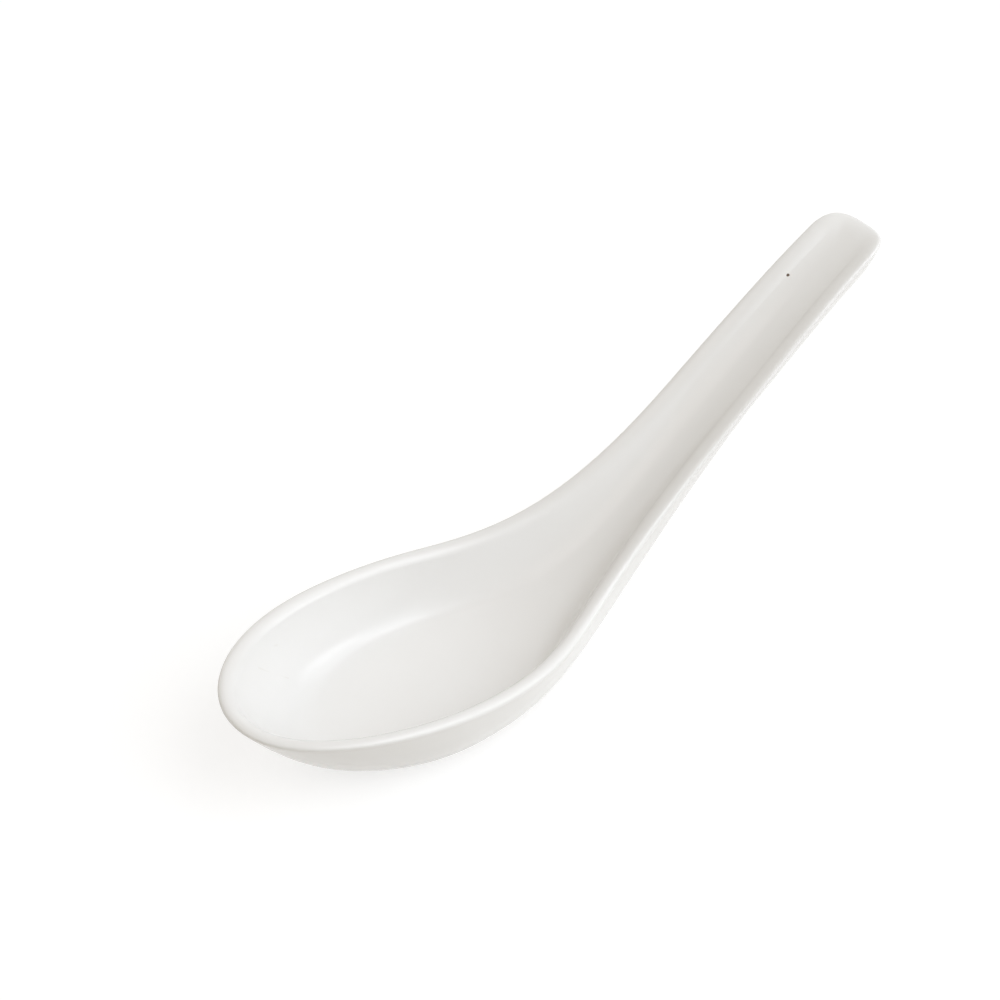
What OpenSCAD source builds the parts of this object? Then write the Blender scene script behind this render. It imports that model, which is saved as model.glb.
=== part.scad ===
// Chinese soup spoon: a one-piece porcelain body under a coat of clear glaze.
// The spoon stands on its foot, with the bowl towards -X and the handle towards +X.

/* [Outline from above] */
// Length from the tip of the bowl to the end of the handle
spoon_length = 132; // [116:1:150]
// Width of the bowl over its rim
bowl_width = 40.9; // [36:0.1:48]
// Distance from the tip to the widest place of the bowl
bowl_peak = 33.8; // [28:0.1:40]
// Distance from the tip to where the sides of the handle run straight
handle_start = 95.6; // [88:0.1:100]
// Width of the handle where its sides start to run straight
handle_width = 15.2; // [14:0.1:19]
// Width of the handle just before its rounded end
handle_end_width = 13.3; // [12:0.1:17]
// Length of the rounded end of the handle
end_round = 6.3; // [4.5:0.1:8]

/* [Rim heights] */
// Height of the rim at the tip of the bowl
tip_height = 17.2; // [15:0.2:22]
// Height of the rim at its lowest place
waist_height = 14.2; // [13:0.2:18]
// Distance from the tip to the lowest place of the rim
waist_place = 51.8; // [46:0.1:60]
// Height of the rim at the end of the handle
end_height = 53.6; // [44:0.1:62]
// Fall of the rim's outer edge below its inner edge across the handle's end
end_roll = 1.5; // [0.3:0.1:2]
// Angle at which the rim leaves the tip
tip_angle = 3.5; // [0:0.1:8]
// Angle of the handle at its end
end_angle = 22.8; // [12:0.1:30]

/* [Wall] */
// Width of the rounded rim at the tip, the sides and the handle
rim_thickness = [2.6, 2.6, 3.1]; // [1.6:0.1:4.4]
// Fullness of the rounding over the rim on its outer and its inner side
rim_fullness = [0.55, 0.68]; // [0.45:0.01:0.7]
// Thickness of the floor of the bowl
floor_thickness = 5; // [3.4:0.1:5.6]
// Distance from the tip to where the middle of the handle follows its rim
handle_join = 100; // [92:0.5:104]
// Thickness of the middle of the handle at that place
handle_thickness = 4.7; // [3.8:0.1:5.2]
// Thickness of the middle of the handle at its end
end_thickness = 4.7; // [3.8:0.1:4.8]
// Depth of the handle from rim to underside at that place
handle_depth = 5.8; // [5.3:0.1:6.6]
// Depth of the handle from rim to underside at its end
end_depth = 5.2; // [4.9:0.1:6.2]

/* [Foot] */
// Distance from the tip to the front of the foot
foot_front = 19.2; // [17:0.2:23]
// Length of the foot
foot_length = 40.4; // [38:0.2:46]
// Width of the foot
foot_width = 19.8; // [16:0.2:22]
// Height of the glazed underside above the table
foot_height = 0.5; // [0.3:0.1:1]
// Reach of the foot past the flat of the underside
foot_reach = 1; // [0.6:0.1:2]
// Distance from the tip to where the underside has narrowed to the handle's
underside_taper = 83.2; // [76:0.1:90]

/* [Floor of the bowl] */
// Distance from the tip to the front of the flat floor
floor_front = 18.5; // [17:0.5:24]
// Distance from the tip to the widest place of the flat floor
floor_peak = 38; // [32:0.5:42]
// Width of the flat floor
floor_width = 26; // [18:0.5:28]
// Distance from the tip to where the floor starts to rise to the handle
floor_back = 43.5; // [40:0.5:54]
// Distance from the tip to where the floor has narrowed to the handle's trough
floor_taper = 79; // [76:0.5:90]

/* [Trough] */
// Width of the level strip along the middle of the trough
trough_strip = 0.8; // [0.6:0.1:2.4]
// Width of the level strip along the underside of the handle
underside_strip = 3.2; // [1.8:0.1:4]
// Distance from the end of the handle to the end of both strips
strip_setback = 7; // [5.5:0.1:9]
// Length of the rounded end of both strips
strip_round = 1.5; // [0.8:0.1:2.5]

/* [Glaze] */
// Thickness of the glaze
glaze_thickness = 0.25; // [0.15:0.05:0.4]
// Width of the bare ring between the foot and the glaze
glaze_setback = 0.4; // [0.2:0.1:1]

/* [Curves] */
// Fullness of the outline at the tip
tip_fullness = 0.58; // [0.5:0.01:0.7]
// Fullness of the outline in front of the widest place
peak_fullness = 0.56; // [0.5:0.01:0.68]
// Fullness of the outline behind the widest place
shoulder_fullness = 0.4; // [0.3:0.01:0.5]
// Fullness of the outline where it runs into the handle
neck_fullness = 0.58; // [0.4:0.01:0.6]
// Fullness of the corners at the end of the handle
corner_fullness = 0.67; // [0.5:0.01:0.8]
// Roundness of the outside at the tip, the sides and the handle
outside_bend = [1.55, 2.34, 2.88]; // [1.2:0.01:3]
// Roundness of the inside at the tip, the sides and the handle
inside_bend = [2.1, 2.1, 2]; // [1.2:0.01:3]

/* [Hidden] */
// Columns along the tip, the shoulder, the handle and its end, on one side
column_steps = [12, 16, 7, 6];
outside_steps = 9;
rim_steps = 6;
inside_steps = 9;
foot_sides = 72;

half_columns = column_steps[0] + column_steps[1] + column_steps[2] + column_steps[3];
ring_columns = 2 * half_columns;
foot_middle = foot_front + foot_length / 2;
foot_back = foot_front + foot_length;
// The flat of the underside lies inside the foot
underside_front = foot_front + foot_reach;
underside_back = foot_back - foot_reach;
underside_half = foot_width / 2 - foot_reach;
floor_level = foot_height + floor_thickness;
strip_end = spoon_length - strip_setback;
// Depth of the trough below the rim where the handle's middle starts and at its end
trough_start = handle_depth - handle_thickness;
trough_end = end_depth - end_thickness;
// The foot is rooted halfway up the floor
foot_root = foot_height + floor_thickness / 2;

function blend(a, b, t) = a + (b - a) * t;
function ease(a, b, x) = let (t = max(0, min(1, (x - a) / (b - a)))) t * t * (3 - 2 * t);

// A cubic curve through its four control points, and its direction
function curve_at(p, t) =
    pow(1 - t, 3) * p[0] + 3 * pow(1 - t, 2) * t * p[1] + 3 * (1 - t) * t * t * p[2] + t * t * t * p[3];
function curve_way(p, t) =
    pow(1 - t, 2) * (p[1] - p[0]) + 2 * (1 - t) * t * (p[2] - p[1]) + t * t * (p[3] - p[2]);

// Height at x of a curve with a given height and slope at each end
function rise(x0, z0, s0, x1, z1, s1, x) =
    let (w = x1 - x0, t = (x - x0) / w)
    (2 * t * t * t - 3 * t * t + 1) * z0 + (t * t * t - 2 * t * t + t) * w * s0
    + (3 * t * t - 2 * t * t * t) * z1 + (t * t * t - t * t) * w * s1;
function rise_slope(x0, z0, s0, x1, z1, s1, x) =
    let (w = x1 - x0, t = (x - x0) / w)
    (6 * t * t - 6 * t) * (z0 - z1) / w + (3 * t * t - 4 * t + 1) * s0 + (3 * t * t - 2 * t) * s1;

// One side of an outline: tip, shoulder, straight handle and rounded end
function outline_curves(front, peak, half, start, half_start, half_end, round_off, end) =
    let (
        corner = end - round_off,
        taper = (half_end - half_start) / (corner - start),
        shoulder = start - peak,
        third = (corner - start) / 3
    )
    [
        [
            [front, 0],
            [front, tip_fullness * half],
            [blend(peak, front, peak_fullness), half],
            [peak, half]
        ],
        [
            [peak, half],
            [peak + shoulder_fullness * shoulder, half],
            [start - neck_fullness * shoulder, half_start - taper * neck_fullness * shoulder],
            [start, half_start]
        ],
        [
            [start, half_start],
            [start + third, half_start + taper * third],
            [corner - third, half_end - taper * third],
            [corner, half_end]
        ],
        [
            [corner, half_end],
            [corner + corner_fullness * round_off, half_end + taper * corner_fullness * round_off],
            [end, corner_fullness * half_end],
            [end, 0]
        ]
    ];

// Which curve each column belongs to, and how far along it
column_places = [
    for (c = [0 : 3]) for (s = [0 : column_steps[c] - 1]) [c, s / column_steps[c]],
    [3, 1]
];
function outline_points(curves) = [for (p = column_places) curve_at(curves[p[0]], p[1])];
function outline_sides(curves) = [
    for (p = column_places) let (d = curve_way(curves[p[0]], p[1])) [-d[1], d[0]] / norm(d)
];

rim_curves = outline_curves(0, bowl_peak, bowl_width / 2, handle_start, handle_width / 2,
    handle_end_width / 2, end_round, spoon_length);
rim_line = outline_points(rim_curves);
rim_sides = outline_sides(rim_curves);
underside_line = outline_points(outline_curves(underside_front, foot_middle, underside_half,
    underside_taper, underside_strip / 2, underside_strip / 2, strip_round, strip_end));
floor_line = outline_points(outline_curves(floor_front, floor_peak, floor_width / 2,
    floor_taper, trough_strip / 2, trough_strip / 2, strip_round, strip_end));

// Height and slope of the rim along the spoon
function rim_rise(x) = x < waist_place
    ? rise(0, tip_height, tan(tip_angle), waist_place, waist_height, 0, x)
    : rise(waist_place, waist_height, 0, spoon_length, end_height, tan(end_angle), x);
function rim_slope(x) = x < waist_place
    ? rise_slope(0, tip_height, tan(tip_angle), waist_place, waist_height, 0, x)
    : rise_slope(waist_place, waist_height, 0, spoon_length, end_height, tan(end_angle), x);

// A middle line that is level under the bowl and follows the rim along the handle
function depth_at(x, start_depth, last_depth) =
    blend(start_depth, last_depth, (x - handle_join) / (spoon_length - handle_join));
function middle_rise(x, level, level_end, start_depth, last_depth) =
    let (deepening = (last_depth - start_depth) / (spoon_length - handle_join))
    x > handle_join ? rim_rise(x) - depth_at(x, start_depth, last_depth)
    : x < level_end ? level
    : rise(level_end, level, 0, handle_join, rim_rise(handle_join) - start_depth,
        rim_slope(handle_join) - deepening, x);
function middle_slope(x, level, level_end, start_depth, last_depth) =
    let (deepening = (last_depth - start_depth) / (spoon_length - handle_join))
    x > handle_join ? rim_slope(x) - deepening
    : x < level_end ? 0
    : rise_slope(level_end, level, 0, handle_join, rim_rise(handle_join) - start_depth,
        rim_slope(handle_join) - deepening, x);
function underside_rise(x) =
    middle_rise(x, foot_height, underside_back, handle_depth, end_depth);
function underside_slope(x) =
    middle_slope(x, foot_height, underside_back, handle_depth, end_depth);
function floor_rise(x) =
    middle_rise(x, floor_level, floor_back, trough_start, trough_end);
function floor_slope(x) =
    middle_slope(x, floor_level, floor_back, trough_start, trough_end);

// A value that changes along the rim, from the tip past the sides to the handle
function along_rim(v) = [
    for (p = rim_line)
        let (tip = 1 - ease(0, bowl_peak, p[0]), handle = ease(bowl_peak, handle_start, p[0]))
        v[0] * tip + v[1] * (1 - tip - handle) + v[2] * handle
];
outside_bends = along_rim(outside_bend);
inside_bends = along_rim(inside_bend);
rim_widths = along_rim(rim_thickness);
inner_line = [for (i = [0 : half_columns]) rim_line[i] - rim_sides[i] * rim_widths[i]];

// Heights of the rim's two edges: across the handle's end they fall to the trough, which runs out there
end_falls = [
    for (i = [0 : half_columns])
        let (share = rim_line[i][1] * 2 / handle_end_width) column_places[i][0] == 3 ? 1 - share * share : 0
];
inner_heights = [for (i = [0 : half_columns]) rim_rise(inner_line[i][0]) - trough_end * end_falls[i]];
outer_heights = [
    for (i = [0 : half_columns]) rim_rise(rim_line[i][0]) - (trough_end + end_roll) * end_falls[i]
];

// A wall leaves the flat along the slope of its middle line and bends up to the rim's edge.
// It holds the flat's point, the edge's point, the rise along that slope, the rest of the rise and the bend
function wall(flat, low, slope, edge, high, bend) =
    let (along = slope * (edge[0] - flat[0]))
    [[flat[0], flat[1], low], [edge[0], edge[1], high], along, high - low - along, bend];
outside_walls = [
    for (i = [0 : half_columns])
        let (flat = underside_line[i], x = flat[0])
        wall(flat, underside_rise(x), underside_slope(x), rim_line[i], outer_heights[i], outside_bends[i])
];
inside_walls = [
    for (i = [0 : half_columns])
        let (flat = floor_line[i], x = flat[0])
        wall(flat, floor_rise(x), floor_slope(x), inner_line[i], inner_heights[i], inside_bends[i])
];
// A point of a wall, from the flat at reach 0 to the edge at reach 1, and its slope at the edge
function wall_point(w, reach) =
    let (p = blend(w[0], w[1], reach)) [p[0], p[1], w[0][2] + w[2] * reach + w[3] * pow(reach, w[4])];
function edge_slope(w) =
    let (way = w[1] - w[0]) (w[2] + w[4] * w[3]) / norm([way[0], way[1]]);

// The rim rolls over from the outside to the inside and leaves each wall along its own slope
function rim_pull(fullness, width, slope) =
    let (a = atan(slope)) fullness * width * [-cos(a), sin(a)];
function rim_point(i, t) =
    let (
        outside = [0, outer_heights[i]],
        inside = [rim_widths[i], inner_heights[i]],
        pull_out = outside + rim_pull(rim_fullness[0], rim_widths[i], edge_slope(outside_walls[i])),
        pull_in = inside + rim_pull(rim_fullness[1], rim_widths[i], edge_slope(inside_walls[i])),
        roll = curve_at([outside, pull_out, pull_in, inside], t),
        p = rim_line[i] - rim_sides[i] * roll[0]
    )
    [p[0], p[1], roll[1]];

// Half rows of the glazed surface, from the underside over the rim to the floor
half_rows = [
    for (r = [0 : outside_steps])
        [for (i = [0 : half_columns]) wall_point(outside_walls[i], sin(90 * r / outside_steps))],
    for (r = [1 : rim_steps])
        [for (i = [0 : half_columns]) rim_point(i, r / rim_steps)],
    for (r = [1 : inside_steps])
        [for (i = [0 : half_columns]) wall_point(inside_walls[i], cos(90 * r / inside_steps))]
];
last_row = len(half_rows) - 1;

// A row runs along the +Y side and back along the -Y side
function other_side(j) = (ring_columns - j) % ring_columns;
function row_point(r, j) =
    let (c = (j + ring_columns) % ring_columns)
    c <= half_columns ? half_rows[r][c]
    : let (p = half_rows[r][ring_columns - c]) [p[0], -p[1], p[2]];

// Outward direction of the glazed surface
function unit(v) = v / norm(v);
function outward(r, j) =
    r == 0 ? let (x = row_point(r, j)[0]) unit([underside_slope(x), 0, -1])
    : r == last_row ? let (x = row_point(r, j)[0]) unit([-floor_slope(x), 0, 1])
    : unit(cross(row_point(r + 1, j) - row_point(r - 1, j), row_point(r, j + 1) - row_point(r, j - 1)));

glazed_points = [for (r = [0 : last_row]) for (j = [0 : ring_columns - 1]) row_point(r, j)];
body_points = [
    for (r = [0 : last_row]) for (j = [0 : ring_columns - 1])
        row_point(r, j) - glaze_thickness * outward(r, j)
];

function at(r, j) = r * ring_columns + j % ring_columns;
// The four corners of a patch, cut along the diagonal that mirrors the other side's
function patch(a, b, c, d, mirrored) = mirrored ? [[a, b, d], [b, c, d]] : [[a, b, c], [a, c, d]];
wall_faces = [
    for (r = [0 : last_row - 1]) for (j = [0 : ring_columns - 1])
        each patch(at(r, j), at(r, j + 1), at(r + 1, j + 1), at(r + 1, j), j >= half_columns)
];
// Rungs from side to side close the middle of a row
function rungs(r, j) = [
    if (j > 0) [at(r, j), at(r, other_side(j + 1)), at(r, other_side(j))],
    if (j < half_columns - 1) [at(r, j), at(r, j + 1), at(r, other_side(j + 1))]
];
floor_faces = [for (j = [0 : half_columns - 1]) each rungs(last_row, j)];
function turned(faces) = [for (f = faces) [f[2], f[1], f[0]]];
function underside_faces(columns) = turned([for (j = columns) each rungs(0, j)]);

// The glaze is open under the foot, where its two surfaces meet
open_first = column_steps[0] - 2;
open_last = column_steps[0] + 2;
closed_columns = [for (j = [0 : half_columns - 1]) if (j < open_first || j >= open_last) j];
open_columns = [for (j = [open_first : open_last - 1]) each [j, other_side(j + 1)]];
inner = len(glazed_points);
function shifted(faces) = [for (f = faces) [for (v = f) v + inner]];
function band(a, b) = [[a, b, b + inner], [a, b + inner, a + inner]];
skin_faces = concat(wall_faces, floor_faces, underside_faces(closed_columns));
opening_faces = [
    for (j = open_columns) each band(j + 1, j),
    each band(open_first, other_side(open_first)),
    each band(other_side(open_last), open_last)
];

module foot_oval(margin, bottom, top) {
    across = foot_width / 2 + margin;
    along = foot_length / 2 + margin;
    translate([0, 0, bottom])
        linear_extrude(top - bottom)
            polygon([
                for (s = [0 : foot_sides - 1])
                    let (turn = 360 * (s + 0.5) / foot_sides) [along * cos(turn), across * sin(turn)]
            ]);
}

module porcelain_body() {
    color("#ece6da") union() {
        translate([-foot_middle, 0, 0])
            polyhedron(body_points, concat(wall_faces, floor_faces,
                underside_faces([0 : half_columns - 1])));
        foot_oval(0, 0, foot_root);
    }
}

module glaze_coat() {
    color("#f4f3ef") difference() {
        translate([-foot_middle, 0, 0])
            polyhedron(concat(glazed_points, body_points),
                concat(skin_faces, turned(shifted(skin_faces)), opening_faces));
        foot_oval(glaze_setback, 0, foot_root);
    }
}

porcelain_body();
glaze_coat();
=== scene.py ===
import math
from types import SimpleNamespace

import bpy
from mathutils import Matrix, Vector


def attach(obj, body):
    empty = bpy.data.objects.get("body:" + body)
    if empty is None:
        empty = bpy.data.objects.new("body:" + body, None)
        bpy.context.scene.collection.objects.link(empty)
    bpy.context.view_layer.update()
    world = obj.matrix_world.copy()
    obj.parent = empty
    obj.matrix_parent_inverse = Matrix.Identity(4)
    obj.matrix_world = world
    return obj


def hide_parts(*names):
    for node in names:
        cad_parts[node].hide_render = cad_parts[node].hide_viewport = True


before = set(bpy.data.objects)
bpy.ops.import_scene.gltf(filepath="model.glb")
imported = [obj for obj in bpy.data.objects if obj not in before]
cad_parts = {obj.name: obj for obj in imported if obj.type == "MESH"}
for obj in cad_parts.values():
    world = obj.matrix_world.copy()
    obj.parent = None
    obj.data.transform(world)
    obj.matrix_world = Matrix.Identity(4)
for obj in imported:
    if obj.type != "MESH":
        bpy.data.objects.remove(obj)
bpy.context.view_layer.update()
print("frame loaded")


class Wire:
    # a socket that takes part in Python sums, each of which adds its node

    def __init__(self, tree, socket=None):
        self.tree = tree
        self.socket = socket

    def node(self, kind, settings=None, sockets=None, out=0):
        made = self.tree.nodes.new(kind)
        for name, value in (settings or {}).items():
            if name == "choices":
                while len(made.index_switch_items) < value:
                    made.index_switch_items.new()
            else:
                setattr(made, name, value)
        for name, value in (sockets or {}).items():
            for part in value if isinstance(value, list) else [value]:
                if isinstance(part, Wire):
                    self.tree.links.new(part.socket, made.inputs[name])
                else:
                    made.inputs[name].default_value = part
        return Wire(self.tree, made.outputs[out])

    def maths(self, operation, *values):
        vector = any(isinstance(v, Wire) and v.socket.type == "VECTOR" for v in values)
        kind = "ShaderNodeVectorMath" if vector else "ShaderNodeMath"
        return self.node(kind, {"operation": operation}, dict(enumerate(values)))

    def scaled(self, factor):
        return self.node("ShaderNodeVectorMath", {"operation": "SCALE"}, {0: self, "Scale": factor})

    def __add__(self, other):
        return self.maths("ADD", self, other)

    def __radd__(self, other):
        return self.maths("ADD", other, self)

    def __sub__(self, other):
        return self.maths("SUBTRACT", self, other)

    def __rsub__(self, other):
        return self.maths("SUBTRACT", other, self)

    def __mul__(self, other):
        return self.scaled(other) if self.socket.type == "VECTOR" else self.maths("MULTIPLY", self, other)

    def __rmul__(self, other):
        return self * other

    def __truediv__(self, other):
        return self.maths("DIVIDE", self, other)

    def __rtruediv__(self, other):
        return self.maths("DIVIDE", other, self)

    def __pow__(self, other):
        return self.maths("POWER", self, other)

    def __neg__(self):
        return self * -1

    def __gt__(self, other):
        return self.maths("GREATER_THAN", self, other)


# the spoon's glazed skin, in millimetres from the tip of the bowl, as the CAD has it
spoonSizes = {
    "length": 132.0,
    "bowlWidth": 40.9,
    "bowlPeak": 33.8,
    "handleStart": 95.6,
    "handleWidth": 15.2,
    "handleEndWidth": 13.3,
    "endRound": 6.3,
    "tipHeight": 17.2,
    "waistHeight": 14.2,
    "waistPlace": 51.8,
    "endHeight": 53.6,
    "endRoll": 1.5,
    "tipSlope": math.tan(math.radians(3.5)),
    "endSlope": math.tan(math.radians(22.8)),
    "rimTip": 2.6,
    "rimSide": 2.6,
    "rimHandle": 3.1,
    "rimOuterFullness": 0.55,
    "rimInnerFullness": 0.68,
    "floorThickness": 5.0,
    "handleJoin": 100.0,
    "handleThickness": 4.7,
    "endThickness": 4.7,
    "handleDepth": 5.8,
    "endDepth": 5.2,
    "footFront": 19.2,
    "footLength": 40.4,
    "footWidth": 19.8,
    "footHeight": 0.5,
    "footReach": 1.0,
    "undersideTaper": 83.2,
    "floorFront": 18.5,
    "floorPeak": 38.0,
    "floorWidth": 26.0,
    "floorBack": 43.5,
    "floorTaper": 79.0,
    "troughStrip": 0.8,
    "undersideStrip": 3.2,
    "stripSetback": 7.0,
    "stripRound": 1.5,
    "glazeThickness": 0.25,
    "glazeSetback": 0.4,
    "tipFullness": 0.58,
    "peakFullness": 0.56,
    "shoulderFullness": 0.4,
    "neckFullness": 0.58,
    "cornerFullness": 0.67,
    "outsideTip": 1.55,
    "outsideSide": 2.34,
    "outsideHandle": 2.88,
    "insideTip": 2.1,
    "insideSide": 2.1,
    "insideHandle": 2.0,
}
spoonMesh = {"columns": 264, "ladderRows": 6, "wallRows": 30, "rimRows": 14, "footSides": 96}
metre = 0.001  # one millimetre
mergeDistance = 2e-6
sharpAngle = math.radians(50)


# height and slope at x of a cubic between two places
def cubicLine(x0, z0, slope0, x1, z1, slope1):
    width = x1 - x0
    first = slope0 * width
    last = slope1 * width
    second = 3 * (z1 - z0) - 2 * first - last
    third = 2 * (z0 - z1) + first + last

    def height(x):
        t = (x - x0) / width
        return z0 + t * (first + t * (second + t * third))

    def slope(x):
        t = (x - x0) / width
        return (first + t * (2 * second + t * (3 * third))) / width

    return height, slope


def choose(mask, low, high):
    return low + (high - low) * mask


def buildSpoonTree(material):
    tree = bpy.data.node_groups.new("spoonShape", "GeometryNodeTree")
    tree.interface.new_socket("Geometry", in_out="OUTPUT", socket_type="NodeSocketGeometry")
    for name, value in spoonSizes.items():
        socket = tree.interface.new_socket(name, in_out="INPUT", socket_type="NodeSocketFloat")
        socket.default_value = value
    given = tree.nodes.new("NodeGroupInput")
    g = SimpleNamespace(**{name: Wire(tree, given.outputs[name]) for name in spoonSizes})
    new = Wire(tree).node

    def point(x, y, z=0.0):
        return new("ShaderNodeCombineXYZ", {}, {"X": x, "Y": y, "Z": z})

    def split(vector):
        parts = new("ShaderNodeSeparateXYZ", {}, {0: vector})
        return [Wire(tree, socket) for socket in parts.socket.node.outputs]

    def pick(index, options, kind="VECTOR"):
        sockets = {0: index}
        sockets.update({place + 1: option for place, option in enumerate(options)})
        return new("GeometryNodeIndexSwitch", {"data_type": kind, "choices": len(options)}, sockets)

    def clamp(value):
        return new("ShaderNodeClamp", {}, {"Value": value})

    # a grid whose X counts columns round the spoon and whose Y counts rows from underside to floor
    columns = spoonMesh["columns"]
    starts = [0]
    for part in ("ladderRows", "wallRows", "rimRows", "wallRows", "ladderRows"):
        starts.append(starts[-1] + spoonMesh[part])
    rows = starts[-1]
    grid = new("GeometryNodeMeshGrid", {}, {
        "Size X": columns, "Size Y": rows, "Vertices X": columns + 1, "Vertices Y": rows + 1})
    gridX, gridY, _ = split(new("GeometryNodeInputPosition"))
    turn = gridX / columns  # from -0.5 to 0.5, with the handle's end in the middle
    row = gridY + rows / 2
    side = turn.maths("SIGN", turn)
    along = 4 - 8 * turn.maths("ABSOLUTE", turn)
    curve = along.maths("MINIMUM", along.maths("FLOOR", along), 3)
    t = along - curve
    s = 1 - t
    weights = [s * s * s, 3 * (s * s * t), 3 * (s * t * t), t * t * t]
    ways = [s * s, 2 * (s * t), t * t]

    # one side of an outline: tip, shoulder, straight handle and rounded end
    def outline(front, peak, half, start, halfStart, halfEnd, roundOff, end):
        corner = end - roundOff
        taper = (halfEnd - halfStart) / (corner - start)
        shoulder = start - peak
        third = (corner - start) / 3
        neck = g.neckFullness * shoulder
        bend = g.cornerFullness * roundOff
        tip = [
            point(front, 0.0),
            point(front, g.tipFullness * half),
            point(peak + (front - peak) * g.peakFullness, half),
            point(peak, half)]
        flank = [
            tip[3],
            point(peak + g.shoulderFullness * shoulder, half),
            point(start - neck, halfStart - taper * neck),
            point(start, halfStart)]
        straight = [
            flank[3],
            point(start + third, halfStart + taper * third),
            point(corner - third, halfEnd - taper * third),
            point(corner, halfEnd)]
        rounded = [
            straight[3],
            point(corner + bend, halfEnd + taper * bend),
            point(end, g.cornerFullness * halfEnd),
            point(end, 0.0)]
        controls = [pick(curve, options) for options in zip(tip, flank, straight, rounded)]
        place = controls[0] * weights[0]
        for control, weight in zip(controls[1:], weights[1:]):
            place = place + control * weight
        return place, controls

    stripEnd = g.length - g.stripSetback
    footMiddle = g.footFront + g.footLength / 2
    undersideBack = g.footFront + g.footLength - g.footReach
    rim, rimControls = outline(
        0.0, g.bowlPeak, g.bowlWidth / 2, g.handleStart, g.handleWidth / 2, g.handleEndWidth / 2,
        g.endRound, g.length)
    underside, _ = outline(
        g.footFront + g.footReach, footMiddle, g.footWidth / 2 - g.footReach, g.undersideTaper,
        g.undersideStrip / 2, g.undersideStrip / 2, g.stripRound, stripEnd)
    floor, _ = outline(
        g.floorFront, g.floorPeak, g.floorWidth / 2, g.floorTaper, g.troughStrip / 2,
        g.troughStrip / 2, g.stripRound, stripEnd)
    rimX, rimY, _ = split(rim)
    way = (rimControls[1] - rimControls[0]) * ways[0]
    way = way + (rimControls[2] - rimControls[1]) * ways[1] + (rimControls[3] - rimControls[2]) * ways[2]
    wayX, wayY, _ = split(way.maths("NORMALIZE", way))
    outward = point(-wayY, wayX)

    # height of the rim along the spoon
    frontRise, frontSlope = cubicLine(0, g.tipHeight, g.tipSlope, g.waistPlace, g.waistHeight, 0)
    backRise, backSlope = cubicLine(
        g.waistPlace, g.waistHeight, 0, g.length, g.endHeight, g.endSlope)

    def rimRise(x):
        return choose(x > g.waistPlace, frontRise(x), backRise(x))

    def rimSlope(x):
        return choose(x > g.waistPlace, frontSlope(x), backSlope(x))

    # a middle line, level under the bowl and at a depth below the rim along the handle
    def middleLine(level, levelEnd, startDepth, lastDepth):
        deepening = (lastDepth - startDepth) / (g.length - g.handleJoin)
        neckRise, neckSlope = cubicLine(
            levelEnd, level, 0, g.handleJoin, backRise(g.handleJoin) - startDepth,
            backSlope(g.handleJoin) - deepening)

        def height(x):
            handle = rimRise(x) - startDepth - deepening * (x - g.handleJoin)
            return choose(x > g.handleJoin, neckRise(x.maths("MAXIMUM", x, levelEnd)), handle)

        def slope(x):
            handle = rimSlope(x) - deepening
            return choose(x > g.handleJoin, neckSlope(x.maths("MAXIMUM", x, levelEnd)), handle)

        return height, slope

    troughEnd = g.endDepth - g.endThickness
    undersideLine = middleLine(g.footHeight, undersideBack, g.handleDepth, g.endDepth)
    floorLine = middleLine(
        g.footHeight + g.floorThickness, g.floorBack, g.handleDepth - g.handleThickness, troughEnd)

    # a value that changes along the rim, from the tip past the sides to the handle
    def ease(low, high):
        return new("ShaderNodeMapRange", {"interpolation_type": "SMOOTHSTEP"}, {
            "Value": rimX, "From Min": low, "From Max": high})

    pastTip = ease(0.0, g.bowlPeak)
    onHandle = ease(g.bowlPeak, g.handleStart)

    def alongRim(tip, flank, handle):
        return tip + (flank - tip) * pastTip + (handle - flank) * onHandle

    rimWidth = alongRim(g.rimTip, g.rimSide, g.rimHandle)
    inner = rim - outward * rimWidth
    share = rimY * 2 / g.handleEndWidth
    endFall = (along > 3) * (1 - share * share)
    outerHeight = rimRise(rimX) - (troughEnd + g.endRoll) * endFall
    innerHeight = rimRise(split(inner)[0]) - troughEnd * endFall

    # a wall leaves the flat along the slope of its middle line and bends up to the rim's edge
    def wall(flat, line, edge, edgeHeight, bend, reach):
        height, slope = line
        flatX, flatY, _ = split(flat)
        edgeX = split(edge)[0]
        low = height(flatX)
        leaning = slope(flatX) * (edgeX - flatX)
        rest = edgeHeight - low - leaning
        run = edge - flat
        place = flat + run * reach
        placeX, placeY, _ = split(place)
        onWall = point(placeX, placeY, low + leaning * reach + rest * reach ** bend)
        edgeSlope = (leaning + bend * rest) / new(
            "ShaderNodeVectorMath", {"operation": "LENGTH"}, {0: run}, "Value")
        return onWall, edgeSlope, (flatX, flatY, low)

    def partShare(part):
        return clamp((row - starts[part]) / (starts[part + 1] - starts[part]))

    outReach = row.maths("SINE", partShare(1) * (math.pi / 2))
    inReach = row.maths("COSINE", partShare(3) * (math.pi / 2))
    outWall, outSlope, outFlat = wall(
        underside, undersideLine, rim, outerHeight,
        alongRim(g.outsideTip, g.outsideSide, g.outsideHandle), outReach)
    inWall, inSlope, inFlat = wall(
        floor, floorLine, inner, innerHeight,
        alongRim(g.insideTip, g.insideSide, g.insideHandle), inReach)

    # the rim rolls over from one wall to the other and leaves each along its own slope
    def pull(fullness, slope):
        return fullness * rimWidth / row.maths("SQRT", 1 + slope * slope)

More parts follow.
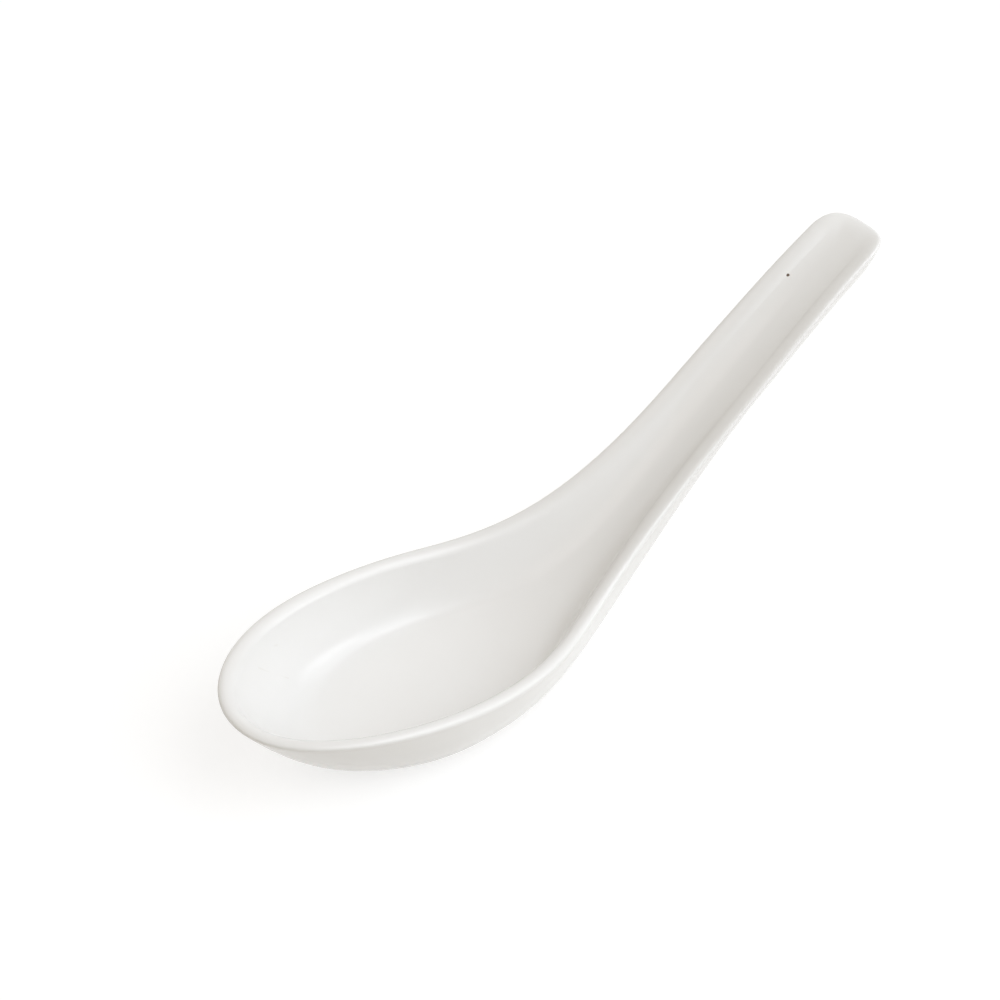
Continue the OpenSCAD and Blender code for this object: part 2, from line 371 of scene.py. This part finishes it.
    rollShare = partShare(2)
    rest = 1 - rollShare
    nearOut = 3 * (rest * rest * rollShare)
    nearIn = 3 * (rest * rollShare * rollShare)
    ends = [rest * rest * rest, rollShare * rollShare * rollShare]
    outPull = pull(g.rimOuterFullness, outSlope)
    inPull = pull(g.rimInnerFullness, inSlope)
    rollIn = nearIn * (rimWidth - inPull) - nearOut * outPull + ends[1] * rimWidth
    rollUp = (
        (ends[0] + nearOut) * outerHeight + (ends[1] + nearIn) * innerHeight
        + nearOut * (outPull * outSlope) + nearIn * (inPull * inSlope))
    rollX, rollY, _ = split(rim - outward * rollIn)
    outShare = partShare(0)
    inShare = 1 - partShare(4)
    part = (row > starts[1]) + (row > starts[2]) + (row > starts[3]) + (row > starts[4])
    skin = pick(part, [
        point(outFlat[0], outFlat[1] * outShare, outFlat[2]),
        outWall,
        point(rollX, rollY, rollUp),
        inWall,
        point(inFlat[0], inFlat[1] * inShare, inFlat[2])])
    skinX, skinY, skinZ = split(skin)
    placed = point(skinX - footMiddle, skinY * side, skinZ) * metre
    edgeShare = pick(part, [0.0, outReach ** 8, 1.0, inReach ** 8, 0.0], "FLOAT")

    shaped = new("GeometryNodeSetPosition", {}, {"Geometry": grid, "Position": placed})
    marked = new("GeometryNodeStoreNamedAttribute", {"data_type": "FLOAT"}, {
        "Geometry": shaped, "Name": "edgeShare", "Value": edgeShare})
    outer = new("GeometryNodeMergeByDistance", {}, {"Geometry": marked, "Distance": mergeDistance})
    normal = new("GeometryNodeInputNormal")
    shrunk = new("GeometryNodeSetPosition", {}, {
        "Geometry": outer, "Offset": normal * (g.glazeThickness * -metre)})
    lining = new("GeometryNodeFlipFaces", {}, {"Mesh": shrunk})
    coat = new("GeometryNodeJoinGeometry", {}, {"Geometry": [outer, lining]})
    # the coat is open round the bare foot
    stamp = new("GeometryNodeMeshCylinder", {}, {
        "Vertices": spoonMesh["footSides"], "Radius": 1.0, "Depth": 1.0})
    stampHeight = g.footHeight + g.floorThickness / 2
    stamp = new("GeometryNodeTransform", {}, {
        "Geometry": stamp,
        "Translation": point(0.0, 0.0, stampHeight / 2) * metre,
        "Scale": point(g.footLength / 2 + g.glazeSetback, g.footWidth / 2 + g.glazeSetback, stampHeight)
        * metre})
    opened = new("GeometryNodeMeshBoolean", {"operation": "DIFFERENCE", "solver": "EXACT"}, {
        "Mesh 1": coat, "Mesh 2": stamp})
    smooth = new("GeometryNodeSetShadeSmooth", {}, {"Geometry": opened})
    real = new("GeometryNodeRealizeInstances", {}, {"Geometry": smooth})
    done = new("GeometryNodeSetMaterial", {}, {"Geometry": real, "Material": material})
    result = tree.nodes.new("NodeGroupOutput")
    tree.links.new(done.socket, result.inputs[0])
    return tree


def makeSpoon(material):
    tree = buildSpoonTree(material)
    piece = bpy.data.objects.new("glazedSkin", bpy.data.meshes.new("glazedSkin"))
    bpy.context.scene.collection.objects.link(piece)
    modifier = piece.modifiers.new("shape", "NODES")
    modifier.node_group = tree
    for item in tree.interface.items_tree:
        if item.in_out == "INPUT":
            modifier[item.identifier] = spoonSizes[item.name]
    shaped = piece.evaluated_get(bpy.context.evaluated_depsgraph_get())
    mesh = bpy.data.meshes.new_from_object(shaped)
    piece.modifiers.remove(modifier)
    piece.data = mesh
    mesh.set_sharp_from_angle(angle=sharpAngle)
    return piece


def newMaterial(name):
    material = bpy.data.materials.new(name)
    material.use_nodes = True
    material.node_tree.nodes.clear()
    return material, Wire(material.node_tree).node


def finishMaterial(material, shader):
    made = material.node_tree.nodes.new("ShaderNodeOutputMaterial")
    material.node_tree.links.new(shader.socket, made.inputs["Surface"])
    return material


def opaque(colour):
    return (*colour, 1)


# 0 below the first value and 1 above the second
def fade(new, value, low, high):
    return new("ShaderNodeMapRange", {"interpolation_type": "SMOOTHSTEP"}, {
        "Value": value, "From Min": low, "From Max": high})


def tint(new, factor, below, above):
    return new("ShaderNodeMix", {"data_type": "RGBA"}, {0: factor, 6: below, 7: above}, 2)


def noise(new, place, scale, detail=2.0, roughness=0.5):
    return new("ShaderNodeTexNoise", {}, {
        "Vector": place, "Scale": scale, "Detail": detail, "Roughness": roughness}, "Fac")


def distance(new, place, centre):
    return new("ShaderNodeVectorMath", {"operation": "DISTANCE"}, {0: place, 1: centre}, "Value")


glazeLook = {  # lengths in metres, scales in patches to the metre
    "white": (0.868, 0.866, 0.858),
    "cloud": (0.853, 0.849, 0.836),
    "thin": (0.878, 0.876, 0.868),
    "lowTint": (0.80, 0.77, 0.71),
    "cloudScale": 55.0,
    "cloudEdges": (0.35, 0.68),
    "cloudWeight": 0.75,
    "grainScale": 700.0,
    "grainWeight": 0.25,
    "thinWeight": 0.6,
    "roughness": 0.2,
    "roughnessSpread": 0.05,
    "waveScale": 110.0,
    "waveHeight": 0.00003,
    "peelScale": 1500.0,
    "peelHeight": 0.0000015,
    "lowTintHeight": (0.0011, 0.0024),
    "lowTintWander": 0.0012,
}
glazeMarks = {  # what the kiln and the table left on it
    "speckPlace": (0.07889, 0.00374, 0.04656),
    "speckRadius": 0.00027,
    "speckEdges": (0.6, 1.15),  # shares of its radius
    "speckRing": 0.0009,
    "ringWeight": 0.5,
    "speckColour": (0.10, 0.055, 0.03),
    "ringColour": (0.9, 0.885, 0.86),
    "pinholeScale": 150.0,
    "pinholeRadius": 0.028,
    "pinholeShare": 0.93,
    "pinholeColour": (0.62, 0.57, 0.49),
    "pinholeWeight": 0.8,
    "pinholeRoughness": 0.1,
    "pitDepth": 0.00004,
    "wobbleScale": 2600.0,
    "wobbleWidth": 0.0004,
    "scratches": [
        ((-0.0257, 0.0124, 0.0140), (-0.0201, 0.0122, 0.0088)),
        ((-0.0206, 0.0148, 0.0142), (-0.0200, 0.0150, 0.0139)),
    ],
    "scratchWidth": 0.00022,
    "scratchColour": (0.79, 0.775, 0.74),
    "scratchWeight": 0.35,
    "scratchWobble": 0.6,
}


def glazeMaterial():
    material, new = newMaterial("whiteGlaze")
    place = new("ShaderNodeTexCoord", {}, {}, "Object")
    edge = new("ShaderNodeAttribute", {"attribute_name": "edgeShare"}, {}, "Fac")
    height = Wire(material.node_tree, new("ShaderNodeSeparateXYZ", {}, {0: place}).socket.node.outputs["Z"])

    # soft clouds in the glaze, thinner and whiter over the rims
    cloud = fade(new, noise(new, place, glazeLook["cloudScale"], 4.0, 0.55), *glazeLook["cloudEdges"])
    grain = noise(new, place, glazeLook["grainScale"], 3.0, 0.6)
    clouded = cloud * glazeLook["cloudWeight"] + grain * glazeLook["grainWeight"]
    colour = tint(new, clouded, opaque(glazeLook["white"]), opaque(glazeLook["cloud"]))
    colour = tint(new, edge * glazeLook["thinWeight"], colour, opaque(glazeLook["thin"]))
    # the glaze turns darker and browner towards the bottom, over its lowest millimetre or two
    wander = (grain - 0.5) * glazeLook["lowTintWander"]
    lowTint = 1 - fade(new, height + wander, *glazeLook["lowTintHeight"])
    colour = tint(new, lowTint, colour, opaque(glazeLook["lowTint"]))

    # a kiln speck with its pale ring, scattered pinholes and a few fine scratches
    wobble = (noise(new, place, glazeMarks["wobbleScale"], 2.0) - 0.5) * glazeMarks["wobbleWidth"]
    away = distance(new, place, glazeMarks["speckPlace"]) + wobble
    ring = 1 - fade(new, away, glazeMarks["speckRadius"], glazeMarks["speckRing"])
    speck = 1 - fade(new, away, *(share * glazeMarks["speckRadius"] for share in glazeMarks["speckEdges"]))
    colour = tint(new, ring * glazeMarks["ringWeight"], colour, opaque(glazeMarks["ringColour"]))
    colour = tint(new, speck, colour, opaque(glazeMarks["speckColour"]))
    cells = new("ShaderNodeTexVoronoi", {}, {"Vector": place, "Scale": glazeMarks["pinholeScale"]})
    cellDistance, cellColour = (
        Wire(material.node_tree, cells.socket.node.outputs[name]) for name in ("Distance", "Color"))
    chance = Wire(
        material.node_tree, new("ShaderNodeSeparateColor", {}, {0: cellColour}).socket.node.outputs["Red"])
    hole = 1 - fade(new, cellDistance, glazeMarks["pinholeRadius"] * 0.5, glazeMarks["pinholeRadius"])
    hole = hole * (chance > glazeMarks["pinholeShare"])
    colour = tint(new, hole * glazeMarks["pinholeWeight"], colour, opaque(glazeMarks["pinholeColour"]))
    scratch = None
    for first, last in glazeMarks["scratches"]:
        way = Vector(last) - Vector(first)
        fromFirst = place - first
        share = new("ShaderNodeVectorMath", {"operation": "DOT_PRODUCT"}, {
            0: fromFirst, 1: tuple(way / way.length_squared)}, "Value")
        share = new("ShaderNodeClamp", {}, {"Value": share})
        nearest = new("ShaderNodeVectorMath", {"operation": "SCALE"}, {0: tuple(way), "Scale": share})
        off = distance(new, fromFirst, nearest) + wobble * glazeMarks["scratchWobble"]
        line = 1 - fade(new, off, glazeMarks["scratchWidth"] * 0.4, glazeMarks["scratchWidth"])
        scratch = line if scratch is None else scratch.maths("MAXIMUM", scratch, line)
    colour = tint(new, scratch * glazeMarks["scratchWeight"], colour, opaque(glazeMarks["scratchColour"]))

    spread = glazeLook["roughnessSpread"]
    roughness = (glazeLook["roughness"] - spread / 2) + cloud * spread
    roughness = roughness + hole * glazeMarks["pinholeRoughness"]
    wave = noise(new, place, glazeLook["waveScale"], 1.0)
    peel = noise(new, place, glazeLook["peelScale"], 1.0)
    level = wave * glazeLook["waveHeight"] + peel * glazeLook["peelHeight"]
    level = level - (hole + speck) * glazeMarks["pitDepth"]
    normal = new("ShaderNodeBump", {}, {"Strength": 1.0, "Distance": 1.0, "Height": level})
    shader = new("ShaderNodeBsdfPrincipled", {}, {
        "Base Color": colour, "Roughness": roughness, "Normal": normal, "IOR": 1.5})
    return finishMaterial(material, shader)


bareLook = {
    "clay": (0.80, 0.765, 0.70),
    "stain": (0.70, 0.65, 0.57),
    "stainScale": 160.0,
    "stainEdges": (0.45, 0.75),
    "stainWeight": 0.6,
    "grainScale": 2400.0,
    "grindStretch": (900.0, 90.0, 90.0),
    "grindScale": 6.0,
    "grindWeight": 0.25,
    "roughness": 0.72,
    "roughnessSpread": 0.16,
    "grainHeight": 0.00003,
}


# the unglazed body, which shows only under the foot
def bareMaterial():
    material, new = newMaterial("barePorcelain")
    place = new("ShaderNodeTexCoord", {}, {}, "Object")
    grain = noise(new, place, bareLook["grainScale"], 3.0, 0.6)
    stretched = new("ShaderNodeMapping", {}, {"Vector": place, "Scale": bareLook["grindStretch"]})
    grind = noise(new, stretched, bareLook["grindScale"], 3.0, 0.6)
    stain = fade(new, noise(new, place, bareLook["stainScale"], 4.0, 0.6), *bareLook["stainEdges"])
    stained = stain * bareLook["stainWeight"] + grind * bareLook["grindWeight"]
    colour = tint(new, stained, opaque(bareLook["clay"]), opaque(bareLook["stain"]))
    spread = bareLook["roughnessSpread"]
    roughness = (bareLook["roughness"] - spread / 2) + grain * spread
    level = (grain + grind) * bareLook["grainHeight"]
    normal = new("ShaderNodeBump", {}, {"Strength": 1.0, "Distance": 1.0, "Height": level})
    shader = new("ShaderNodeBsdfPrincipled", {}, {
        "Base Color": colour, "Roughness": roughness, "Normal": normal})
    return finishMaterial(material, shader)


glaze = glazeMaterial()
spoon = makeSpoon(glaze)
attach(spoon, "root")
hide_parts("glaze_coat")
print("spoon made:", len(spoon.data.polygons), "faces")

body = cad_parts["porcelain_body"]
bare = bareMaterial()
for slot in body.material_slots:
    slot.material = bare
print("body finished")

# camera at the photograph's angle
cameraPlace = {
    "turn": 49.995,
    "tilt": 39.53,
    "distance": 0.8013,
    "lens": 176.19,
    "sensor": 36.0,
    "aim": (0.02597, 0.01432, 0.02),
}
studioLamps = {  # turn and tilt in degrees, distance and size in metres, power in watts
    "keySoftbox": {"turn": 288, "tilt": 52, "distance": 1.0, "size": 0.7, "power": 2.4,
                   "colour": (0.915, 0.96, 1.0)},
    "wideSoftbox": {"turn": 299, "tilt": 47, "distance": 1.0, "size": 1.6, "power": 8.5,
                    "colour": (0.905, 0.937, 1.0)},
    "frontSoftbox": {"turn": 314, "tilt": 15, "distance": 1.0, "size": 0.45, "power": 1.0,
                     "colour": (1.0, 1.0, 1.0)},
    "sideSoftbox": {"turn": 160, "tilt": 46, "distance": 1.0, "size": 0.72, "power": 1.85,
                    "colour": (1.0, 0.94, 0.9)},
    "backSoftbox": {"turn": 65, "tilt": 30, "distance": 1.0, "size": 1.3, "power": 1.7,
                    "colour": (0.97, 0.98, 1.0)},
}
studioAim = (0.025, 0.0, 0.02)
studioWhite = {
    "floor": (0.8, 0.785, 0.755),  # as it lights the spoon
    "seenFloor": (0.35, 0.35, 0.35),  # as it is seen, with its shadow
    "seenGlow": 0.74,
    "ambient": (0.24, 0.216, 0.172),
    "seenWorld": (1.0, 1.0, 1.0),
    "floorSide": 4.0,
}


def direction(turn, tilt):
    turn, tilt = math.radians(turn), math.radians(tilt)
    return Vector((math.cos(turn) * math.cos(tilt), math.sin(turn) * math.cos(tilt), math.sin(tilt)))


def linkNew(name, data):
    made = bpy.data.objects.new(name, data)
    bpy.context.scene.collection.objects.link(made)
    return made


def makeCamera():
    data = bpy.data.cameras.new("photoCamera")
    data.sensor_width = cameraPlace["sensor"]
    data.lens = cameraPlace["lens"]
    camera = linkNew("photoCamera", data)
    away = direction(cameraPlace["turn"] + 180, cameraPlace["tilt"])
    camera.location = Vector(cameraPlace["aim"]) + away * cameraPlace["distance"]
    camera.rotation_euler = away.to_track_quat("Z", "Y").to_euler()
    bpy.context.scene.camera = camera


def makeLamps():
    for name, lamp in studioLamps.items():
        data = bpy.data.lights.new(name, "AREA")
        data.size = lamp["size"]
        data.energy = lamp["power"]
        data.color = lamp["colour"]
        away = direction(lamp["turn"], lamp["tilt"])
        made = linkNew(name, data)
        made.location = Vector(studioAim) + away * lamp["distance"]
        made.rotation_euler = away.to_track_quat("Z", "Y").to_euler()


# 1 where a ray comes from the camera, off the glaze or through glass
def seenBy(new):
    path = new("ShaderNodeLightPath").socket.node.outputs
    tree = path[0].node.id_data
    camera, shiny, glass = (
        Wire(tree, path[name]) for name in ("Is Camera Ray", "Is Glossy Ray", "Is Transmission Ray"))
    return camera.maths("MAXIMUM", camera.maths("MAXIMUM", camera, shiny), glass)


def makeFloor():
    half = studioWhite["floorSide"] / 2
    mesh = bpy.data.meshes.new("paleFloor")
    corners = [(-half, -half, 0), (half, -half, 0), (half, half, 0), (-half, half, 0)]
    mesh.from_pydata(corners, [], [(0, 1, 2, 3)])
    floor = linkNew("paleFloor", mesh)
    material, new = newMaterial("paleFloor")
    lit = new("ShaderNodeBsdfDiffuse", {}, {"Color": opaque(studioWhite["floor"])})
    shadowed = new("ShaderNodeBsdfDiffuse", {}, {"Color": opaque(studioWhite["seenFloor"])})
    glow = new("ShaderNodeEmission", {}, {"Strength": studioWhite["seenGlow"]})
    seen = new("ShaderNodeAddShader", {}, {0: shadowed, 1: glow})
    shader = new("ShaderNodeMixShader", {}, {0: seenBy(new), 1: lit, 2: seen})
    mesh.materials.append(finishMaterial(material, shader))


def makeWorld():
    world = bpy.data.worlds.new("paleStudio")
    bpy.context.scene.world = world
    world.use_nodes = True
    background = world.node_tree.nodes["Background"]
    new = Wire(world.node_tree).node
    colour = tint(new, seenBy(new), opaque(studioWhite["ambient"]), opaque(studioWhite["seenWorld"]))
    world.node_tree.links.new(colour.socket, background.inputs["Color"])


makeCamera()
makeLamps()
makeFloor()
makeWorld()
bpy.context.scene.view_settings.view_transform = "Standard"
print("studio ready")
